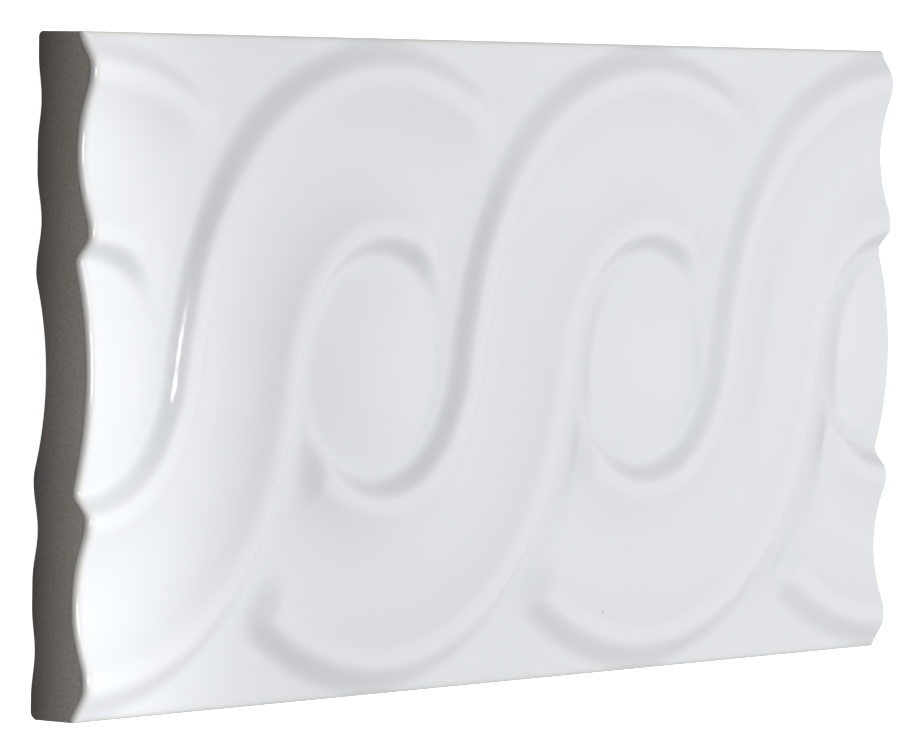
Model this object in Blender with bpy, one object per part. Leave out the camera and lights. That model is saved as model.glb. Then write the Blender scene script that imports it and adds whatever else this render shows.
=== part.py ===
"""A relief border tile, pressed and fired as one piece, lying on its back.

The ornament is a running guilloche: broad S-shaped ribbons, each a shallow channel between two
raised rims, that curl round a row of domed eyes and dip under one another. The tile carries three
pitches of it and is cut through an eye at both ends, so that tiles set end to end run on.

Metres in the scene, millimetres in the named values below. +Z is out of the glazed face, +X is
along the row of eyes, +Y is towards the top edge. The origin is on the back, in the middle.
"""

import math

import bmesh
import bpy
import numpy as np
from mathutils import Vector
from mathutils.geometry import delaunay_2d_cdt

MM = 0.001

# Driving sizes of the tile
LENGTH = 198.0
WIDTH = 98.0
BORDER_THICKNESS = 9.0
GLAZED_EDGE_RADIUS = 1.1
BACK_RADIUS_TOP = 1.1
BACK_RADIUS_BOTTOM = 1.5
BACK_RADIUS_ENDS = 0.25

# Driving sizes of the ornament
EYES_ON_TILE = 4
PITCH = LENGTH / (EYES_ON_TILE - 1)
RIBBON_RADIUS = 32.0
COVE_HALF = 10.1
RIM_SHOULDER = 0.5
RIM_CREST = 12.0
RIM_FOOT = 17.2
RIM_HEIGHT = 2.25
DOME_HEIGHT = 2.2
DOME_RADIUS = 15.8
CROSSING_HALF = 9.0
UPPER_DIP_LENGTH = 12.0
LOWER_DIP_LENGTH = 6.0

# A flank is narrower, down to this foot, within this distance of the row of eyes, and reaches
# its full width over the next stretch
NARROW_FOOT = 15.6
SPREAD_FROM = 20.0
SPREAD_OVER = 20.0

# The back is pressed in behind the rims and the domes, and is flat between them
OUTER_GROOVE_MIDDLE = 7.3
OUTER_GROOVE_HALF = 6.5
OUTER_GROOVE_DEPTH = 0.62
INNER_GROOVE_MIDDLE = 10.0
INNER_GROOVE_HALF = 7.2
INNER_GROOVE_DEPTH = 0.9
HOLLOW_DEPTH = 2.1
HOLLOW_RADIUS = 14.0

# Spacing of the mesh, whose lines follow the ribbons at these distances from their middles and
# circle the eyes at these radii
POINT_SPACING = 4.4
END_SPACING = 2.0
CORNER_STATIONS = (0.2, 0.7)
POINT_CLEARANCE = 1.0
EDGE_CLEARANCE = 0.8
FEWEST_STEPS = 6
CENTRE = 0.01
FACE_LEVELS = (RIM_FOOT, 14.1, 12.8, 11.2, 9.6, 15.5, 7.4, 5.0, 2.5, 0.0)
FACE_RINGS = (15.0, 12.0, 8.2, 4.4, CENTRE)
BACK_LEVELS = (INNER_GROOVE_MIDDLE, 14.1, RIM_FOOT, OUTER_GROOVE_MIDDLE, 4.6, 1.8)
BACK_RINGS = (HOLLOW_RADIUS, 9.8, 5.2, CENTRE)
TOLERANCE = 0.01
MERGE_DISTANCE = 1e-6


def smoothstep(t):
    t = np.clip(t, 0.0, 1.0)
    return t * t * (3.0 - 2.0 * t)


def eye_x(index):
    """The place of an eye along the tile. Eye 0 is cut by the left end."""
    return -LENGTH / 2 + index * PITCH


def distance_to_eye(index, x, y):
    return np.hypot(x - eye_x(index), y)


def crossing_share(y):
    """How far a ribbon has passed from its arc under one eye to its arc over the next."""
    return smoothstep((y + CROSSING_HALF) / (2 * CROSSING_HALF))


def across_ribbon(index, x, y):
    """Distance from the middle of ribbon `index`, positive on its right-hand side.

    The ribbon runs under eye `index` and then over the next eye. It is far away elsewhere."""
    below = distance_to_eye(index, x, y) - RIBBON_RADIUS
    above = RIBBON_RADIUS - distance_to_eye(index + 1, x, y)
    across = below + (above - below) * crossing_share(y)
    across = np.where(x < eye_x(index), np.where(y < 0.0, below, LENGTH), across)
    return np.where(x > eye_x(index + 1), np.where(y > 0.0, above, LENGTH), across)


def smooth_min(a, b, fillet):
    """The smaller of two heights, with the ridge between them rounded."""
    gap = np.abs(a - b)
    return np.minimum(a, b) - np.maximum(fillet - gap, 0.0) ** 2 / (4 * fillet)


def ribbon_section(across, y):
    """Height of a ribbon: a cove between two flat-topped rims. Its outer flanks are steep where it
    crosses the row of eyes, and spread towards the long edges of the tile."""
    offset = np.abs(across)
    foot = NARROW_FOOT + (RIM_FOOT - NARROW_FOOT) * smoothstep((np.abs(y) - SPREAD_FROM) / SPREAD_OVER)
    cove = RIM_HEIGHT * (offset / COVE_HALF) ** 2
    inner = smooth_min(cove, RIM_HEIGHT, RIM_SHOULDER)
    fall = 1.0 - smoothstep((offset - RIM_CREST) / (foot - RIM_CREST))
    return inner * fall


def groove(offset, middle, half_width, depth):
    """A round-bottomed groove at this distance from the middle of a ribbon."""
    share = np.clip((offset - middle) / half_width, -1.0, 1.0)
    return depth * np.cos(share * math.pi / 2) ** 2


def pressed_section(across, y):
    """Height of the back behind a ribbon: a groove behind each rim, and the one on the side of
    the eye is the wider and deeper of the two."""
    offset = np.abs(across)
    outer = groove(offset, OUTER_GROOVE_MIDDLE, OUTER_GROOVE_HALF, OUTER_GROOVE_DEPTH)
    inner = groove(offset, INNER_GROOVE_MIDDLE, INNER_GROOVE_HALF, INNER_GROOVE_DEPTH)
    share = crossing_share(y)
    outside = np.where(across > 0.0, 1.0 - share, share)
    return outer * outside + inner * (1.0 - outside)


def laid_ribbons(x, y, order, section, dip_length):
    """The ribbons laid in this order. Each presses down the one that it covers, which comes up
    again over the dip length beyond its foot."""
    total = np.zeros_like(x)
    for index in order:
        across = across_ribbon(index, x, y)
        risen = smoothstep((np.abs(across) - RIM_FOOT) / dip_length)
        total = np.maximum(section(across, y), total * risen)
    return total


def interlaced(x, y, section):
    """The right-hand ribbon lies over in the upper half, the left-hand one in the lower half."""
    order = range(-1, EYES_ON_TILE)
    upper = laid_ribbons(x, y, order, section, UPPER_DIP_LENGTH)
    lower = laid_ribbons(x, y, reversed(order), section, LOWER_DIP_LENGTH)
    return np.where(y >= 0.0, upper, lower)


def with_domes(height, x, y, dome_height, dome_radius):
    """Adds a round bulge over each eye, where it stands higher than the ribbons."""
    for index in range(EYES_ON_TILE):
        share = distance_to_eye(index, x, y) / dome_radius
        height = np.maximum(height, dome_height * (1.0 - share**2))
    return height


def face_height(x, y):
    ribbons = interlaced(x, y, ribbon_section)
    ornament = with_domes(ribbons, x, y, DOME_HEIGHT, DOME_RADIUS)
    return BORDER_THICKNESS + ornament


def back_height(x, y):
    """Height of the back, which is 0 on its flat lands."""
    grooves = interlaced(x, y, pressed_section)
    return with_domes(grooves, x, y, HOLLOW_DEPTH, HOLLOW_RADIUS)


def outline():
    """Points round the tile's edge, anticlockwise from the bottom left corner, with a few more
    on the ends close to the rounded corners."""
    along = np.linspace(-1, 1, round(LENGTH / POINT_SPACING) + 1)[:-1] * LENGTH / 2
    even = np.linspace(-1, 1, round(WIDTH / END_SPACING) + 1) * WIDTH / 2
    close = WIDTH / 2 - np.array(CORNER_STATIONS)
    up = np.sort(np.concatenate([even, close, -close]))[:-1]
    sides = [
        np.stack([along, np.full_like(along, -WIDTH / 2)], 1),
        np.stack([np.full_like(up, LENGTH / 2), up], 1),
        np.stack([-along, np.full_like(along, WIDTH / 2)], 1),
        np.stack([np.full_like(up, -LENGTH / 2), -up], 1),
    ]
    return np.concatenate(sides)


def drawn_in(ring, ends, bottom, top):
    """The outline drawn in by these distances."""
    x = ring[:, 0] * (1 - ends / (LENGTH / 2))
    side = np.where(ring[:, 1] < 0, bottom, top)
    y = ring[:, 1] * (1 - side / (WIDTH / 2))
    return np.stack([x, y], 1)


def uncovered(index, points):
    """Whether ribbon `index` shows at these points, and isn't under a neighbour."""
    x, y = points[:, 0], points[:, 1]
    right_covers = np.abs(across_ribbon(index + 1, x, y)) < RIM_FOOT - TOLERANCE
    left_covers = np.abs(across_ribbon(index - 1, x, y)) < RIM_FOOT - TOLERANCE
    return ~np.where(y >= 0, right_covers, left_covers)


def arc(centre_x, radius, start, end):
    steps = max(FEWEST_STEPS, round(abs(end - start) * radius / POINT_SPACING))
    angles = np.linspace(start, end, steps + 1)
    return np.stack([centre_x + radius * np.cos(angles), radius * np.sin(angles)], 1)


def ribbon_line(index, across):
    """Points along ribbon `index` at this distance from its middle: an arc under one eye, a
    crossing, and an arc over the next."""
    low, high = RIBBON_RADIUS + across, RIBBON_RADIUS - across
    below = arc(0.0, low, -math.pi, 0.0)[:-1]
    above = arc(PITCH, high, math.pi, 0.0)
    line = np.concatenate([below, above])
    x, y = line[:, 0], line[:, 1]
    x_low = np.sqrt(np.maximum(low**2 - y**2, 0.0))
    x_high = PITCH - np.sqrt(np.maximum(high**2 - y**2, 0.0))
    crossing = (np.abs(y) < CROSSING_HALF) & (x > 0.0) & (x < PITCH)
    x = np.where(crossing, x_low + (x_high - x_low) * crossing_share(y), x)
    return np.stack([x + eye_x(index), y], 1)


def ornament_lines(levels, rings):
    """Lines of points that follow the ornament, the ones that matter most first, each with a mark
    on the points that aren't under another ribbon."""
    lines = []
    for level in levels:
        for index in range(-1, EYES_ON_TILE):
            for across in sorted({level, -level}):
                line = ribbon_line(index, across)
                lines.append((line, uncovered(index, line)))
    for radius in rings:
        for index in range(EYES_ON_TILE):
            circle = arc(eye_x(index), radius, 0.0, 2 * math.pi)
            lines.append((circle, np.ones(len(circle), bool)))
    return lines


def inner_points(levels, rings, margin):
    """The points of the lines inside the tile, and the edges along the lines. A point that is too
    near an earlier one is left out."""
    points, edges = [], []
    for line, shown in ornament_lines(levels, rings):
        inside = np.abs(line) < (LENGTH / 2 - margin, WIDTH / 2 - margin)
        earlier = np.array(points)
        before = None
        for point, wanted in zip(line, shown & inside.all(axis=1)):
            if wanted and len(earlier):
                wanted = np.hypot(*(earlier - point).T).min() > POINT_CLEARANCE
            if wanted and before is not None:
                edges.append((before, len(points)))
            before = len(points) if wanted else None
            if wanted:
                points.append(point)
    return points, edges


def cap(mesh, ring, ring_verts, levels, rings, height_of, facing_up):
    """Closes a ring with a surface of this height, whose edges follow the ornament."""
    inner, lines = inner_points(levels, rings, GLAZED_EDGE_RADIUS + EDGE_CLEARANCE)
    count = len(ring)
    edges = [(i, (i + 1) % count) for i in range(count)]
    edges += [(a + count, b + count) for a, b in lines]
    flat = [Vector(point) for point in list(ring) + inner]
    found = delaunay_2d_cdt(flat, edges, [], 1, MERGE_DISTANCE)
    placed, _, triangles, sources = found[:4]
    verts = []
    for point, source in zip(placed, sources):
        if source and min(source) < count:
            verts.append(ring_verts[min(source)])
        else:
            height = float(height_of(np.array(point.x), np.array(point.y)))
            verts.append(mesh.verts.new((point.x * MM, point.y * MM, height * MM)))
    for triangle in triangles:
        a, b, c = (placed[i] for i in triangle)
        anticlockwise = (b - a).cross(c - a) > 0
        corners = triangle if anticlockwise == facing_up else reversed(triangle)
        mesh.faces.new([verts[i] for i in corners])


def add_ring(mesh, points, heights):
    return [mesh.verts.new((x * MM, y * MM, z * MM)) for (x, y), z in zip(points, heights)]


def bridge(mesh, lower, upper):
    """A strip of faces between two rings, facing out of the tile."""
    count = len(lower)
    for i in range(count):
        after = (i + 1) % count
        mesh.faces.new((lower[i], lower[after], upper[after], upper[i]))


def long_edge_rise(y):
    """How far the back rises to its rounded long edges at these places."""
    radius = np.where(y < 0, BACK_RADIUS_BOTTOM, BACK_RADIUS_TOP)
    into = np.clip(1.0 - (WIDTH / 2 - np.abs(y)) / radius, 0.0, 1.0)
    return radius * (1.0 - np.sqrt(1.0 - into**2))


def back_rings(mesh, ring):
    """The rounded edge of the back, from the back outwards."""
    on_end = np.isclose(np.abs(ring[:, 0]), LENGTH / 2)
    rings = []
    for angle in (math.pi / 2, math.pi / 4, 0.0):
        share = 1 - math.cos(angle)
        points = drawn_in(
            ring, BACK_RADIUS_ENDS * share, BACK_RADIUS_BOTTOM * share, BACK_RADIUS_TOP * share
        )
        end_rise = on_end * BACK_RADIUS_ENDS * (1 - math.sin(angle))
        rise = np.maximum(long_edge_rise(points[:, 1]), end_rise)
        heights = back_height(points[:, 0], points[:, 1]) + rise
        rings.append((points, add_ring(mesh, points, heights)))
    return rings


def face_rings(mesh, ring):
    """The rounded edge of the glazed face, from the side inwards."""
    rings = []
    for angle in (0.0, math.pi / 4, math.pi / 2):
        inset = GLAZED_EDGE_RADIUS * (1 - math.cos(angle))
        points = drawn_in(ring, inset, inset, inset)
        drop = GLAZED_EDGE_RADIUS * (1 - math.sin(angle))
        heights = face_height(points[:, 0], points[:, 1]) - drop
        rings.append((points, add_ring(mesh, points, heights)))
    return rings


def tile_mesh():
    mesh = bmesh.new()
    ring = outline()
    back = back_rings(mesh, ring)
    face = face_rings(mesh, ring)
    rings = back + face
    for (_, lower), (_, upper) in zip(rings, rings[1:]):
        bridge(mesh, lower, upper)
    cap(mesh, *back[0], BACK_LEVELS, BACK_RINGS, back_height, False)
    cap(mesh, *face[-1], FACE_LEVELS, FACE_RINGS, face_height, True)
    data = bpy.data.meshes.new("border_tile")
    mesh.to_mesh(data)
    mesh.free()
    return data


def glazed_ceramic():
    material = bpy.data.materials.new("glazed_ceramic")
    material.use_nodes = True
    shader = material.node_tree.nodes["Principled BSDF"]
    shader.inputs["Base Color"].default_value = (0.74, 0.75, 0.76, 1.0)
    shader.inputs["Roughness"].default_value = 0.12
    shader.inputs["Metallic"].default_value = 0.0
    return material


def main():
    for obj in list(bpy.data.objects):
        bpy.data.objects.remove(obj, do_unlink=True)
    tile = bpy.data.objects.new("border_tile", tile_mesh())
    tile.data.materials.append(glazed_ceramic())
    bpy.context.scene.collection.objects.link(tile)


main()
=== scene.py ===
"""The looks of the relief border tile: its glazed face, its bare fired edges and back, a pale
floor, soft studio light, and a camera at the photograph's angle.

The scene is in metres. The sizes of the tile, its glaze, its mesh and its textures are named in
millimetres, as in the tile's own source. Those of the lights, the flag and the floor are in metres.
"""

import math

import bmesh
import bpy
import numpy as np
from mathutils import Matrix, Vector, noise
from mathutils.geometry import delaunay_2d_cdt

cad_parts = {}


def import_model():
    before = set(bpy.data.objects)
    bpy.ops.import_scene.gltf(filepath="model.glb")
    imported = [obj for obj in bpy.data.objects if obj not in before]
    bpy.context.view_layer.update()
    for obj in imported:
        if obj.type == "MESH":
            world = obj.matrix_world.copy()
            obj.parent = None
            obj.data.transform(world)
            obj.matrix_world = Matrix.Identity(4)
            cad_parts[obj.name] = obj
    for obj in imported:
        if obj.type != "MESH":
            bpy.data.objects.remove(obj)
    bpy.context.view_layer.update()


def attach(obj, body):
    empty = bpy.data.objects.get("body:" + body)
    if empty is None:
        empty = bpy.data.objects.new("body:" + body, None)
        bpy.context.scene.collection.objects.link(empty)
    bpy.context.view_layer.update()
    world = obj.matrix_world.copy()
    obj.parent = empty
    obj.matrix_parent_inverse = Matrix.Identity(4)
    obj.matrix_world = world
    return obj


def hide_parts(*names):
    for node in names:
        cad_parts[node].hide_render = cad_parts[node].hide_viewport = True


MM = 0.001

# The tile, as in its source
LENGTH = 198.0
WIDTH = 98.0
BORDER_THICKNESS = 9.0
GLAZED_EDGE_RADIUS = 1.1
BACK_RADIUS_TOP = 1.1
BACK_RADIUS_BOTTOM = 1.5
BACK_RADIUS_ENDS = 0.25

# The ornament, as in the tile's source. A dome merges with the ribbons within DOME_REACH of its
# own radii from its eye.
EYES_ON_TILE = 4
PITCH = LENGTH / (EYES_ON_TILE - 1)
RIBBON_RADIUS = 32.0
COVE_HALF = 10.1
RIM_SHOULDER = 0.5
RIM_CREST = 12.0
RIM_FOOT = 17.2
RIM_HEIGHT = 2.25
DOME_HEIGHT = 2.2
DOME_RADIUS = 15.8
DOME_REACH = 1.3
CROSSING_HALF = 9.0
UPPER_DIP_LENGTH = 12.0
LOWER_DIP_LENGTH = 6.0

# A flank is narrower, down to this foot, within this distance of the row of eyes, and reaches
# its full width over the next stretch
NARROW_FOOT = 15.6
SPREAD_FROM = 20.0
SPREAD_OVER = 20.0

# The back is pressed in behind the rims and the domes, and is flat between them
OUTER_GROOVE_MIDDLE = 7.3
OUTER_GROOVE_HALF = 6.5
OUTER_GROOVE_DEPTH = 0.62
INNER_GROOVE_MIDDLE = 10.0
INNER_GROOVE_HALF = 7.2
INNER_GROOVE_DEPTH = 0.9
HOLLOW_DEPTH = 2.1
HOLLOW_RADIUS = 14.0

# The glaze fills the valleys, runs this far down the sides, and ends in a small step. Its end
# wanders up and down by this much, at this rate per millimetre along the sides.
GLAZE_FILLET = 0.25
GLAZE_RUN = 0.15
GLAZE_EDGE_WANDER = 0.12
GLAZE_WANDER_RATE = 0.21
GLAZE_LIP = 0.04
GLAZE_LIP_DROP = 0.15

# The mesh: its spacing on the face and the back, the steps round its rounded edges, its rings down
# the sides as shares of the way, and how close two points of the back count as one
FACE_STEP = 0.51
BACK_STEP = 2.4
EDGE_STEPS = 6
SIDE_RINGS = (0.04, 0.3, 0.65, 0.96)
MERGE_DISTANCE = 1e-6

# The camera: its place in millimetres and its axes, in the tile's frame, its lens and sensor, and
# how far it sees, in metres
CAMERA_PLACE = Vector((-806.1, 41.1, 633.3))
CAMERA_RIGHT = Vector((0.61993, 0.01503, 0.78452))
CAMERA_UP = Vector((0.02387, 0.99899, -0.03800))
LENS = 267.07
SENSOR = 36.0
CLIP_END = 20.0

# The sky: its strength at the horizon and overhead, what the right gains and the left loses, what
# is lost beyond the long sides, and a round bank of light in it
SKY_AT_HORIZON = 0.26
SKY_OVERHEAD = 0.99
SKY_TO_RIGHT = 0.545
SIDE_SHADE = 0.27
BANK_STRENGTH = 0.54
BANK_DIRECTION = Vector((0.0, 0.0, 1.0))
BANK_INNER = math.radians(10)
BANK_OUTER = math.radians(60)

# The lamps, in metres and watts
LAMP_PLACE = Vector((-0.485, 0.157, 0.91))
LAMP_AIM = Vector((-0.50, -0.045, 0.0))
LAMP_BEAM = math.radians(51.5)
LAMP_BLEND = 0.17
LAMP_POWER = 18.5
LAMP_RADIUS = 0.02
SOFTBOX_PLACE = Vector((-0.728, 0.33, 0.91))
SOFTBOX_SIZE = (0.1, 0.28)
SOFTBOX_POWER = 1.8
EDGE_LIGHT_PLACE = Vector((-1.0, 0.0, 0.62))
EDGE_LIGHT_SIZE = (0.26, 0.45)
EDGE_LIGHT_POWER = 4.4
EDGE_LIGHT_AIM = Vector((-0.1, 0.0, 0.0))
STRIP_PLACE = Vector((-1.5, 0.0, 0.33))
STRIP_SIZE = (0.8, 0.1)
STRIP_POWER = 9.0
FLAG_X = -0.3
FLAG_TOP = 0.0757
FLAG_HALF_WIDTH = 0.5

# The floor and the dark flag
WHITE = (1.0, 1.0, 1.0, 1.0)
FLOOR_HALF = 4.0
FLOOR_COLOUR = (0.75, 0.75, 0.75, 1.0)
FLOOR_ROUGHNESS = 0.8
FLOOR_GLOW = 1.0
FLAG_COLOUR = (0.02, 0.02, 0.02, 1.0)
FLAG_ROUGHNESS = 0.9

# The glaze: its colours, its roughness, and the height of its ripple. One colour paints light onto
# the rounded edge as a lighter band, and that painted light is full once this share of the rounded
# edge is passed.
GLAZE_COLOUR = (0.755, 0.775, 0.80, 1.0)
POOLED_GLAZE_COLOUR = (0.735, 0.757, 0.787, 1.0)
PAINTED_EDGE_LIGHT_COLOUR = (0.89, 0.885, 0.875, 1.0)
GLAZE_ROUGHNESS = 0.08
GLAZE_RIPPLE = 0.01
PAINTED_EDGE_LIGHT_AFTER = 0.25

# The specks: their spacing, their radius and the share of them that shows, and how much of a
# speck is fully dark
SPECK_COLOUR = (0.30, 0.29, 0.27, 1.0)
SPECKS = (11.0, 0.45, 0.04)
SPECK_CORE = 0.6

# The bare clay: its colours, how strongly its grain is darkened, how strongly it is darkened
# towards the back as painted shade, its roughness, and the height of its grain
CLAY_COLOUR = (0.585, 0.555, 0.515, 1.0)
WARM_CLAY_COLOUR = (0.635, 0.56, 0.515, 1.0)
CLAY_GRAIN_AND_SHADE_COLOUR = (0.10, 0.085, 0.075, 1.0)
CLAY_GRAIN = 0.25
PAINTED_BACK_SHADE = 0.9
CLAY_ROUGHNESS = 0.9
CLAY_ROUGH_DEPTH = 0.08

# The layers of noise: the size of their lumps, and how many finer octaves they have
POOL_NOISE = (14.0, 2.0)
RIPPLE_NOISE = (5.0, 1.0)
PATCH_NOISE = (7.0, 4.0)
GRAIN_NOISE = (0.5, 3.0)
ROUGH_NOISE = (0.6, 4.0)

# The values of the noise over which a colour goes from none to full, and the shares of the pooled
# colour that are left where its noise is low and high
POOL_RANGE = (0.3, 0.7)
POOL_SHARES = (0.6, 1.0)
PATCH_RANGE = (0.35, 0.65)
GRAIN_RANGE = (0.4, 0.7)


def smoothstep(t):
    t = np.clip(t, 0.0, 1.0)
    return t * t * (3.0 - 2.0 * t)


def eye_x(index):
    return -LENGTH / 2 + index * PITCH


def distance_to_eye(index, x, y):
    return np.hypot(x - eye_x(index), y)


def crossing_share(y):
    """How far a ribbon has passed from its arc under one eye to its arc over the next."""
    return smoothstep((y + CROSSING_HALF) / (2 * CROSSING_HALF))


def across_ribbon(index, x, y):
    """Distance from the middle of ribbon `index`, positive on its right-hand side.

    The ribbon runs under eye `index` and then over the next eye. It is far away elsewhere."""
    below = distance_to_eye(index, x, y) - RIBBON_RADIUS
    above = RIBBON_RADIUS - distance_to_eye(index + 1, x, y)
    across = below + (above - below) * crossing_share(y)
    across = np.where(x < eye_x(index), np.where(y < 0.0, below, LENGTH), across)
    return np.where(x > eye_x(index + 1), np.where(y > 0.0, above, LENGTH), across)


def smooth_max(a, b, fillet):
    """The larger of two heights, with the valley between them filled."""
    gap = np.abs(a - b)
    return np.maximum(a, b) + np.maximum(fillet - gap, 0.0) ** 2 / (4 * fillet)


def ribbon_section(across, y):
    """Height of a ribbon: a cove between two flat-topped rims. Its outer flanks are steep where it
    crosses the row of eyes, and spread towards the long edges of the tile."""
    offset = np.abs(across)
    spread = smoothstep((np.abs(y) - SPREAD_FROM) / SPREAD_OVER)
    foot = NARROW_FOOT + (RIM_FOOT - NARROW_FOOT) * spread
    cove = RIM_HEIGHT * (offset / COVE_HALF) ** 2
    inner = -smooth_max(-cove, -RIM_HEIGHT, RIM_SHOULDER)
    fall = 1.0 - smoothstep((offset - RIM_CREST) / (foot - RIM_CREST))
    return inner * fall


def groove(offset, middle, half_width, depth):
    """A round-bottomed groove at this distance from the middle of a ribbon."""
    share = np.clip((offset - middle) / half_width, -1.0, 1.0)
    return depth * np.cos(share * math.pi / 2) ** 2


def pressed_section(across, y):
    """Height of the back behind a ribbon: a groove behind each rim, and the one on the side of
    the eye is the wider and deeper of the two."""
    offset = np.abs(across)
    outer = groove(offset, OUTER_GROOVE_MIDDLE, OUTER_GROOVE_HALF, OUTER_GROOVE_DEPTH)
    inner = groove(offset, INNER_GROOVE_MIDDLE, INNER_GROOVE_HALF, INNER_GROOVE_DEPTH)
    share = crossing_share(y)
    outside = np.where(across > 0.0, 1.0 - share, share)
    return outer * outside + inner * (1.0 - outside)


def laid_ribbons(x, y, order, section, dip_length):
    """The ribbons laid in this order. Each presses down the one that it covers, which comes up
    again over the dip length beyond its foot."""
    total = np.zeros_like(x)
    for index in order:
        across = across_ribbon(index, x, y)
        risen = smoothstep((np.abs(across) - RIM_FOOT) / dip_length)
        total = np.maximum(section(across, y), total * risen)
    return total


def interlaced(x, y, section):
    """The right-hand ribbon lies over in the upper half, the left-hand one in the lower half."""
    order = range(-1, EYES_ON_TILE)
    upper = laid_ribbons(x, y, order, section, UPPER_DIP_LENGTH)
    lower = laid_ribbons(x, y, reversed(order), section, LOWER_DIP_LENGTH)
    return np.where(y >= 0.0, upper, lower)


def with_domes(height, x, y, dome_height, dome_radius):
    """Adds a round bulge over each eye, where it stands higher than the ribbons. The glaze fills
    the valley round it."""
    for index in range(EYES_ON_TILE):
        share = distance_to_eye(index, x, y) / dome_radius
        dome = dome_height * np.maximum(1.0 - share**2, -1.0)
        height = np.where(share < DOME_REACH, smooth_max(height, dome, GLAZE_FILLET), height)
    return height


def face_height(x, y):
    ribbons = interlaced(x, y, ribbon_section)
    ornament = with_domes(ribbons, x, y, DOME_HEIGHT, DOME_RADIUS)
    return BORDER_THICKNESS + ornament


def back_height(x, y):
    """Height of the back, which is 0 on its flat lands."""
    grooves = interlaced(x, y, pressed_section)
    return with_domes(grooves, x, y, HOLLOW_DEPTH, HOLLOW_RADIUS)


def stations(length, step, radius):
    """Places along one side of the tile: close together over the rounded edges, then even."""
    angles = np.linspace(0.0, math.pi / 2, EDGE_STEPS + 1)
    rounded = radius * (1.0 - np.cos(angles))
    count = round((length - 2 * radius) / step)
    middle = np.linspace(radius, length - radius, count + 1)[1:-1]
    return np.concatenate([rounded, middle, length - rounded[::-1]]) - length / 2


def rounding_drop(x, y, radius):
    """How far a rounded edge falls below the face at these places."""
    from_edge = np.minimum(LENGTH / 2 - np.abs(x), WIDTH / 2 - np.abs(y))
    into = np.clip(1.0 - from_edge / radius, 0.0, 1.0)
    return radius * (1.0 - np.sqrt(1.0 - into**2))


def grid_border(columns, rows):
    """Indices of a grid's outer points, anticlockwise from its first corner."""
    bottom = [i * rows for i in range(columns - 1)]
    right = [(columns - 1) * rows + j for j in range(rows - 1)]
    top = [i * rows + rows - 1 for i in range(columns - 1, 0, -1)]
    left = [j for j in range(rows - 1, 0, -1)]
    return bottom + right + top + left


def add_points(mesh, x, y, z):
    """New vertices at these places, which are in millimetres."""
    return [mesh.verts.new((a * MM, b * MM, c * MM)) for a, b, c in zip(x, y, z)]


def bridge(mesh, upper, lower):
    """A strip of faces between two rings, facing out of the tile."""
    count = len(upper)
    for i in range(count):
        after = (i + 1) % count
        mesh.faces.new((lower[i], lower[after], upper[after], upper[i]))


def add_face(mesh):
    """The glazed face with its rounded edge. Gives back its outer ring of vertices."""
    xs = stations(LENGTH, FACE_STEP, GLAZED_EDGE_RADIUS)
    ys = stations(WIDTH, FACE_STEP, GLAZED_EDGE_RADIUS)
    x, y = (grid.ravel() for grid in np.meshgrid(xs, ys, indexing="ij"))
    z = face_height(x, y) - rounding_drop(x, y, GLAZED_EDGE_RADIUS)
    verts = add_points(mesh, x, y, z)
    rows = len(ys)
    for i in range(len(xs) - 1):
        for j in range(rows - 1):
            k = i * rows + j
            mesh.faces.new((verts[k], verts[k + rows], verts[k + rows + 1], verts[k + 1]))
    return [verts[k] for k in grid_border(len(xs), rows)]


def ring_coordinates(ring):
    return np.array([vert.co[:] for vert in ring]) / MM


def glaze_end(x, y, z):
    """The height at which the glaze ends on the side of the tile, which wanders a little."""
    wander = [noise.noise(Vector((a, b, 0.0)) * GLAZE_WANDER_RATE) for a, b in zip(x, y)]
    return z - GLAZE_RUN - GLAZE_EDGE_WANDER * np.array(wander)


def drawn_in(x, y, ends, bottom, top):
    """These places drawn in from the ends and from the two long sides."""
    side = np.where(y < 0, bottom, top)
    return x * (1 - ends / (LENGTH / 2)), y * (1 - side / (WIDTH / 2))


def long_edge_rise(y):
    """How far the back rises to its rounded long edges at these places."""
    radius = np.where(y < 0, BACK_RADIUS_BOTTOM, BACK_RADIUS_TOP)
    into = np.clip(1.0 - (WIDTH / 2 - np.abs(y)) / radius, 0.0, 1.0)
    return radius * (1.0 - np.sqrt(1.0 - into**2))


def back_edge(x, y, on_end, angle):
    """Places and heights of the ring at this angle round the rounded edge of the back."""
    share = 1 - math.cos(angle)
    near_x, near_y = drawn_in(
        x, y, BACK_RADIUS_ENDS * share, BACK_RADIUS_BOTTOM * share, BACK_RADIUS_TOP * share
    )
    end_rise = on_end * BACK_RADIUS_ENDS * (1 - math.sin(angle))
    rise = np.maximum(long_edge_rise(near_y), end_rise)
    return near_x, near_y, back_height(near_x, near_y) + rise


def add_sides(mesh, ring):
    """The glaze's lip, the bare sides and the rounded edge of the back, down from the face's
    ring. Gives back all the rings."""
    x, y, z = ring_coordinates(ring).T
    end = glaze_end(x, y, z)
    top = end - GLAZE_LIP_DROP
    inner_x, inner_y = drawn_in(x, y, GLAZE_LIP, GLAZE_LIP, GLAZE_LIP)
    rings = [ring, add_points(mesh, x, y, end), add_points(mesh, inner_x, inner_y, top)]
    on_end = np.isclose(np.abs(x), LENGTH / 2)
    foot = back_edge(inner_x, inner_y, on_end, 0.0)[2]
    for share in SIDE_RINGS:
        rings.append(add_points(mesh, inner_x, inner_y, top + (foot - top) * share))
    for angle in np.linspace(0.0, math.pi / 2, EDGE_STEPS):
        rings.append(add_points(mesh, *back_edge(inner_x, inner_y, on_end, angle)))
    for upper, lower in zip(rings, rings[1:]):
        bridge(mesh, upper, lower)
    return rings


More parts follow.
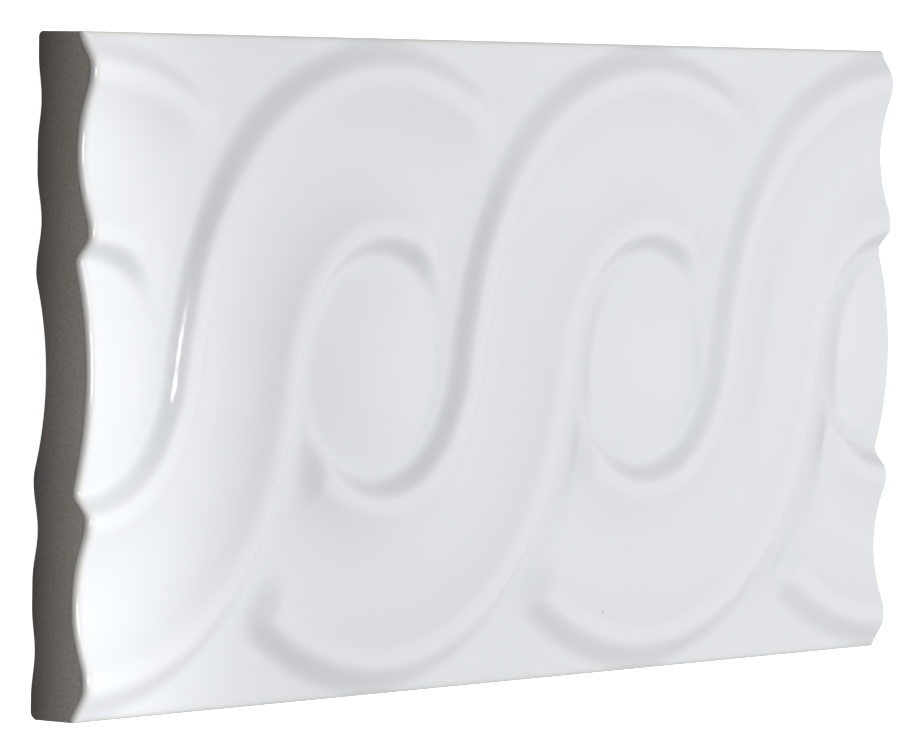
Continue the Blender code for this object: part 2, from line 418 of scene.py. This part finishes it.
def add_back(mesh, ring):
    """Closes the back inside its ring."""
    outer = ring_coordinates(ring)[:, :2]
    xs = np.linspace(-1, 1, round(LENGTH / BACK_STEP) + 1)[1:-1] * LENGTH / 2
    ys = np.linspace(-1, 1, round(WIDTH / BACK_STEP) + 1)[1:-1] * WIDTH / 2
    x, y = (grid.ravel() for grid in np.meshgrid(xs, ys))
    verts = ring + add_points(mesh, x, y, back_height(x, y))
    points = [Vector(point) for point in outer] + [Vector(point) for point in zip(x, y)]
    count = len(ring)
    edges = [(i, (i + 1) % count) for i in range(count)]
    # The fourth list says which of these points each point of the triangles stands for
    _, _, triangles, sources = delaunay_2d_cdt(points, edges, [], 1, MERGE_DISTANCE)[:4]
    source = [names[0] for names in sources]
    for triangle in triangles:
        a, b, c = (source[i] for i in triangle)
        mesh.faces.new((verts[c], verts[b], verts[a]))


def add_object(name, data):
    item = bpy.data.objects.new(name, data)
    bpy.context.scene.collection.objects.link(item)
    return item


def add_float_attribute(data, name, values):
    layer = data.attributes.new(name, "FLOAT", "POINT")
    layer.data.foreach_set("value", np.asarray(values, np.float32))


def rounding_share(x, y):
    """How far over the rounded edge of the face these places are: 0 on the face, 1 at its rim."""
    return np.clip(rounding_drop(x, y, GLAZED_EDGE_RADIUS) / GLAZED_EDGE_RADIUS, 0.0, 1.0)


def tile_mesh():
    """The tile as one closed mesh, and how many of its vertices, the first ones, are glazed."""
    mesh = bmesh.new()
    ring = add_face(mesh)
    glazed_count = len(mesh.verts) + len(ring)
    rings = add_sides(mesh, ring)
    add_back(mesh, rings[-1])
    data = bpy.data.meshes.new("relief_tile")
    mesh.to_mesh(data)
    mesh.free()
    data.shade_smooth()
    return data, glazed_count


def tile_object(material):
    """The tile, with the measures on its vertices that the material reads."""
    data, glazed_count = tile_mesh()
    x, y, height = np.array([vert.co[:] for vert in data.vertices]).T / MM
    add_float_attribute(data, "glazed", np.arange(len(x)) < glazed_count)
    add_float_attribute(data, "rounding", rounding_share(x, y))
    add_float_attribute(data, "height", height)
    add_float_attribute(data, "relief", height - BORDER_THICKNESS)
    data.materials.append(material)
    return add_object("relief_tile", data)


def principled(name, colour, roughness):
    material = bpy.data.materials.new(name)
    material.use_nodes = True
    shader = material.node_tree.nodes["Principled BSDF"]
    shader.inputs["Base Color"].default_value = colour
    shader.inputs["Roughness"].default_value = roughness
    return material, shader


def plug(tree, value, socket):
    """Gives a socket its value: a number, a colour or the output of another node."""
    if isinstance(value, bpy.types.NodeSocket):
        tree.links.new(value, socket)
    else:
        socket.default_value = value


def blended(tree, share, a, b):
    """From colour a at share 0 to colour b at share 1."""
    node = tree.nodes.new("ShaderNodeMix")
    node.data_type = "RGBA"
    for name, value in (("Factor", share), ("A", a), ("B", b)):
        plug(tree, value, node.inputs[name])
    return node.outputs["Result"]


def remapped(tree, value, old, new):
    """The value moved from the range old to the range new, and held inside it."""
    node = tree.nodes.new("ShaderNodeMapRange")
    plug(tree, value, node.inputs["Value"])
    for name, limit in zip(("From Min", "From Max", "To Min", "To Max"), old + new):
        plug(tree, limit, node.inputs[name])
    return node.outputs["Result"]


def calculate(tree, operation, a, b):
    node = tree.nodes.new("ShaderNodeMath")
    node.operation = operation
    plug(tree, a, node.inputs[0])
    plug(tree, b, node.inputs[1])
    return node.outputs["Value"]


def attribute(tree, name):
    node = tree.nodes.new("ShaderNodeAttribute")
    node.attribute_name = name
    return node.outputs["Fac"]


def coordinates(tree):
    return tree.nodes.new("ShaderNodeTexCoord").outputs["Object"]


def cloudy(tree, size, detail):
    """Noise from 0 to 1 whose lumps are about this size, in millimetres."""
    node = tree.nodes.new("ShaderNodeTexNoise")
    node.inputs["Scale"].default_value = 1 / (size * MM)
    node.inputs["Detail"].default_value = detail
    tree.links.new(coordinates(tree), node.inputs["Vector"])
    return node.outputs["Fac"]


def specks(tree, spacing, radius, kept):
    """1 inside a few small round specks: this share of the cells of this spacing has one."""
    node = tree.nodes.new("ShaderNodeTexVoronoi")
    node.inputs["Scale"].default_value = 1 / (spacing * MM)
    tree.links.new(coordinates(tree), node.inputs["Vector"])
    edge = radius / spacing
    core = SPECK_CORE * edge
    inside = remapped(tree, node.outputs["Distance"], (core, edge), (1.0, 0.0))
    split = tree.nodes.new("ShaderNodeSeparateColor")
    tree.links.new(node.outputs["Color"], split.inputs["Color"])
    shown = calculate(tree, "LESS_THAN", split.outputs[0], kept)
    return calculate(tree, "MULTIPLY", inside, shown)


def glaze_colour(tree):
    """White glaze, a little deeper where it pools, painted lighter over the rounded edge as painted
    light, and with a few dark specks fired into it."""
    depth = remapped(tree, attribute(tree, "relief"), (0.0, RIM_HEIGHT), (1.0, 0.0))
    clouds = remapped(tree, cloudy(tree, *POOL_NOISE), POOL_RANGE, POOL_SHARES)
    pooled = calculate(tree, "MULTIPLY", depth, clouds)
    colour = blended(tree, pooled, GLAZE_COLOUR, POOLED_GLAZE_COLOUR)
    # Painted light: the rounded edge gets a lighter colour, a painted highlight along the edge.
    painted_edge_light = remapped(tree, attribute(tree, "rounding"), (0.0, PAINTED_EDGE_LIGHT_AFTER), (0.0, 1.0))
    colour = blended(tree, painted_edge_light, colour, PAINTED_EDGE_LIGHT_COLOUR)
    return blended(tree, specks(tree, *SPECKS), colour, SPECK_COLOUR)


def clay_colour(tree):
    """Bare fired clay: mottled, grainy, and darkened towards the back as painted shade."""
    patches = remapped(tree, cloudy(tree, *PATCH_NOISE), PATCH_RANGE, (0.0, 1.0))
    colour = blended(tree, patches, CLAY_COLOUR, WARM_CLAY_COLOUR)
    grain = remapped(tree, cloudy(tree, *GRAIN_NOISE), GRAIN_RANGE, (0.0, CLAY_GRAIN))
    colour = blended(tree, grain, colour, CLAY_GRAIN_AND_SHADE_COLOUR)
    # Painted shade: the clay is darkened the lower it lies, most at the back.
    height = attribute(tree, "height")
    painted_shade = remapped(tree, height, (0.0, BORDER_THICKNESS), (PAINTED_BACK_SHADE, 0.0))
    return blended(tree, painted_shade, colour, CLAY_GRAIN_AND_SHADE_COLOUR)


def surface_bump(tree, glazed):
    """The ripple of the glaze and the grain of the clay."""
    ripple = calculate(tree, "MULTIPLY", cloudy(tree, *RIPPLE_NOISE), GLAZE_RIPPLE * MM)
    grain = calculate(tree, "MULTIPLY", cloudy(tree, *ROUGH_NOISE), CLAY_ROUGH_DEPTH * MM)
    bare = calculate(tree, "SUBTRACT", 1.0, glazed)
    on_glaze = calculate(tree, "MULTIPLY", ripple, glazed)
    on_clay = calculate(tree, "MULTIPLY", grain, bare)
    height = calculate(tree, "ADD", on_glaze, on_clay)
    bump = tree.nodes.new("ShaderNodeBump")
    bump.inputs["Distance"].default_value = 1.0
    tree.links.new(height, bump.inputs["Height"])
    return bump.outputs["Normal"]


def tile_material():
    material, shader = principled("glazed_tile", GLAZE_COLOUR, GLAZE_ROUGHNESS)
    tree = material.node_tree
    glazed = attribute(tree, "glazed")
    colour = blended(tree, glazed, clay_colour(tree), glaze_colour(tree))
    roughness = remapped(tree, glazed, (0.0, 1.0), (CLAY_ROUGHNESS, GLAZE_ROUGHNESS))
    tree.links.new(colour, shader.inputs["Base Color"])
    tree.links.new(roughness, shader.inputs["Roughness"])
    tree.links.new(surface_bump(tree, glazed), shader.inputs["Normal"])
    return material


def sheet_object(name, corners, material):
    """A flat four-cornered sheet, which isn't part of the tile."""
    data = bpy.data.meshes.new(name)
    data.from_pydata(corners, [], [(0, 1, 2, 3)])
    data.materials.append(material)
    sheet = add_object(name, data)
    return sheet


def floor():
    """A pale floor that glows as white as the photograph's ground, and lights nothing."""
    material, shader = principled("pale_floor", FLOOR_COLOUR, FLOOR_ROUGHNESS)
    shader.inputs["Emission Color"].default_value = WHITE
    shader.inputs["Emission Strength"].default_value = FLOOR_GLOW
    half = FLOOR_HALF
    corners = [(-half, -half, 0.0), (half, -half, 0.0), (half, half, 0.0), (-half, half, 0.0)]
    plane = sheet_object("floor", corners, material)
    plane.visible_diffuse = False
    plane.visible_glossy = False


def add_light(data, place, aim):
    """Places a light and turns it to face the point that it is aimed at."""
    light = add_object(data.name, data)
    light.location = place
    light.rotation_euler = (aim - place).to_track_quat("-Z", "Y").to_euler()
    return light


def left_glow():
    """A beam on the left end of the tile, whose soft edge falls before the first ribbon ends."""
    data = bpy.data.lights.new("left_glow", "SPOT")
    data.energy = LAMP_POWER
    data.shadow_soft_size = LAMP_RADIUS
    data.spot_size = LAMP_BEAM
    data.spot_blend = LAMP_BLEND
    glow = add_light(data, LAMP_PLACE, LAMP_AIM)
    glow.visible_glossy = False


def panel_light(name, size, power, place, aim):
    """A rectangular light that faces this point."""
    data = bpy.data.lights.new(name, "AREA")
    data.shape = "RECTANGLE"
    data.size, data.size_y = size
    data.energy = power
    return add_light(data, place, aim)


def softbox():
    """A small softbox on the left, which only shows as a streak on the steep flank of a rim."""
    below = Vector((SOFTBOX_PLACE.x, SOFTBOX_PLACE.y, 0.0))
    box = panel_light("softbox", SOFTBOX_SIZE, SOFTBOX_POWER, SOFTBOX_PLACE, below)
    box.visible_diffuse = False


def edge_light():
    """A tall panel on the left, which only glints on the rounded edge of the left end."""
    panel = panel_light(
        "edge_light", EDGE_LIGHT_SIZE, EDGE_LIGHT_POWER, EDGE_LIGHT_PLACE, EDGE_LIGHT_AIM
    )
    panel.visible_diffuse = False


def strip_light():
    """A low strip on the left, for the left-facing slopes. The flag keeps it off the left half of
    the tile."""
    strip = panel_light("strip_light", STRIP_SIZE, STRIP_POWER, STRIP_PLACE, Vector())
    strip.visible_glossy = False


def flag():
    """A dark card that stands between the strip light and the tile. The camera and the glaze
    don't see it."""
    material, _ = principled("dark_card", FLAG_COLOUR, FLAG_ROUGHNESS)
    sides = (-FLAG_HALF_WIDTH, FLAG_HALF_WIDTH)
    low = [(FLAG_X, y, 0.0) for y in sides]
    high = [(FLAG_X, y, FLAG_TOP) for y in reversed(sides)]
    card = sheet_object("flag", low + high, material)
    card.visible_camera = False
    card.visible_glossy = False


def along(tree, direction):
    """How far the lit direction points along this one, as a cosine."""
    place = tree.nodes.new("ShaderNodeTexCoord")
    cosine = tree.nodes.new("ShaderNodeVectorMath")
    cosine.operation = "DOT_PRODUCT"
    cosine.inputs[1].default_value = direction.normalized()
    tree.links.new(place.outputs["Generated"], cosine.inputs[0])
    return cosine.outputs["Value"]


def soft_panel(tree, direction, inner, outer, strength):
    """A round panel of light in this direction, which fades out between two angles from it."""
    fade = tree.nodes.new("ShaderNodeMapRange")
    fade.interpolation_type = "SMOOTHSTEP"
    fade.inputs["From Min"].default_value = math.cos(outer)
    fade.inputs["From Max"].default_value = math.cos(inner)
    fade.inputs["To Max"].default_value = strength
    tree.links.new(along(tree, direction), fade.inputs["Value"])
    return fade.outputs["Result"]


def sky_strength(tree):
    """Brighter overhead and on the right, and darker beyond the long sides of the tile."""
    up = along(tree, Vector((0.0, 0.0, 1.0)))
    sky = remapped(tree, up, (0.0, 1.0), (SKY_AT_HORIZON, SKY_OVERHEAD))
    bank = soft_panel(tree, BANK_DIRECTION, BANK_INNER, BANK_OUTER, BANK_STRENGTH)
    right = calculate(tree, "MULTIPLY", along(tree, Vector((1.0, 0.0, 0.0))), SKY_TO_RIGHT)
    side = along(tree, Vector((0.0, 1.0, 0.0)))
    shade = calculate(tree, "MULTIPLY", calculate(tree, "MULTIPLY", side, side), SIDE_SHADE)
    lit = calculate(tree, "ADD", calculate(tree, "ADD", sky, bank), right)
    return calculate(tree, "MAXIMUM", calculate(tree, "SUBTRACT", lit, shade), 0.0)


def studio_light():
    world = bpy.data.worlds.new("studio")
    world.use_nodes = True
    tree = world.node_tree
    background = tree.nodes["Background"]
    background.inputs["Color"].default_value = WHITE
    tree.links.new(sky_strength(tree), background.inputs["Strength"])
    bpy.context.scene.world = world


def camera():
    data = bpy.data.cameras.new("camera")
    data.lens = LENS
    data.sensor_width = SENSOR
    data.clip_end = CLIP_END
    view = add_object("camera", data)
    back = CAMERA_RIGHT.cross(CAMERA_UP)
    turn = Matrix((CAMERA_RIGHT, CAMERA_UP, back)).transposed()
    view.matrix_world = Matrix.Translation(CAMERA_PLACE * MM) @ turn.to_4x4()
    bpy.context.scene.camera = view


def main():
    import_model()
    tile = tile_object(tile_material())
    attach(tile, "root")
    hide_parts("border_tile")
    floor()
    studio_light()
    left_glow()
    softbox()
    edge_light()
    strip_light()
    flag()
    camera()
    bpy.context.scene.view_settings.view_transform = "Standard"


main()
